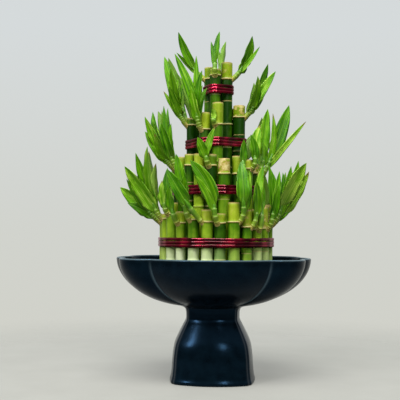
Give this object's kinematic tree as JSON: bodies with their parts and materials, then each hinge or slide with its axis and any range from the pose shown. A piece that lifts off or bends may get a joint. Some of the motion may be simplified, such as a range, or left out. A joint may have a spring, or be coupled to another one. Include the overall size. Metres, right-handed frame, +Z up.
{
  "type": "lucky bamboo plant",
  "caption": "Potted lucky bamboo: a stepped round tower of cut green stalks with leafy shoots, tied in rings, standing in water in a dark scalloped bowl on a lobed foot.",
  "frame": {"origin": "middle of the foot's flat underside", "axes": "+Z up, +X to the right across the bowl's longer width, -Y towards the front that the picture shows"},
  "size_m": [0.202, 0.169, 0.36],
  "materials": {
    "bowl": "smooth satin-gloss glaze",
    "water": "clear still surface",
    "stalk": "smooth waxy green skin",
    "tie": "shiny foil-covered cord"
  },
  "bodies": {
    "root": {"bowl": "bowl", "water": "water", "tie_core": "tie", "tie_outer": "tie", "tie_second": "tie", "tie_third": "tie", "stalk_core_1": "stalk", "stalk_core_2": "stalk", "stalk_core_3": "stalk", "stalk_core_4": "stalk", "stalk_outer_1": "stalk", "stalk_outer_2": "stalk", "stalk_outer_3": "stalk", "stalk_outer_4": "stalk", "stalk_outer_5": "stalk", "stalk_outer_6": "stalk", "stalk_outer_7": "stalk", "stalk_outer_8": "stalk", "stalk_outer_9": "stalk", "stalk_outer_10": "stalk", "stalk_outer_11": "stalk", "stalk_outer_12": "stalk", "stalk_outer_13": "stalk", "stalk_outer_14": "stalk", "stalk_outer_15": "stalk", "stalk_outer_16": "stalk", "stalk_outer_17": "stalk", "stalk_outer_18": "stalk", "stalk_outer_19": "stalk", "stalk_outer_20": "stalk", "stalk_outer_21": "stalk", "stalk_outer_22": "stalk", "stalk_outer_23": "stalk", "stalk_outer_24": "stalk", "stalk_second_1": "stalk", "stalk_second_2": "stalk", "stalk_second_3": "stalk", "stalk_second_4": "stalk", "stalk_second_5": "stalk", "stalk_second_6": "stalk", "stalk_second_7": "stalk", "stalk_second_8": "stalk", "stalk_second_9": "stalk", "stalk_third_1": "stalk", "stalk_third_2": "stalk", "stalk_third_3": "stalk", "stalk_third_4": "stalk", "stalk_third_5": "stalk", "stalk_third_6": "stalk", "stalk_third_7": "stalk", "stalk_third_8": "stalk", "stalk_third_9": "stalk", "stalk_third_10": "stalk", "stalk_third_11": "stalk", "stalk_third_12": "stalk", "stalk_third_13": "stalk", "stalk_third_14": "stalk", "stalk_third_15": "stalk", "stalk_third_16": "stalk", "stalk_third_17": "stalk"}
  },
  "joints": []
}
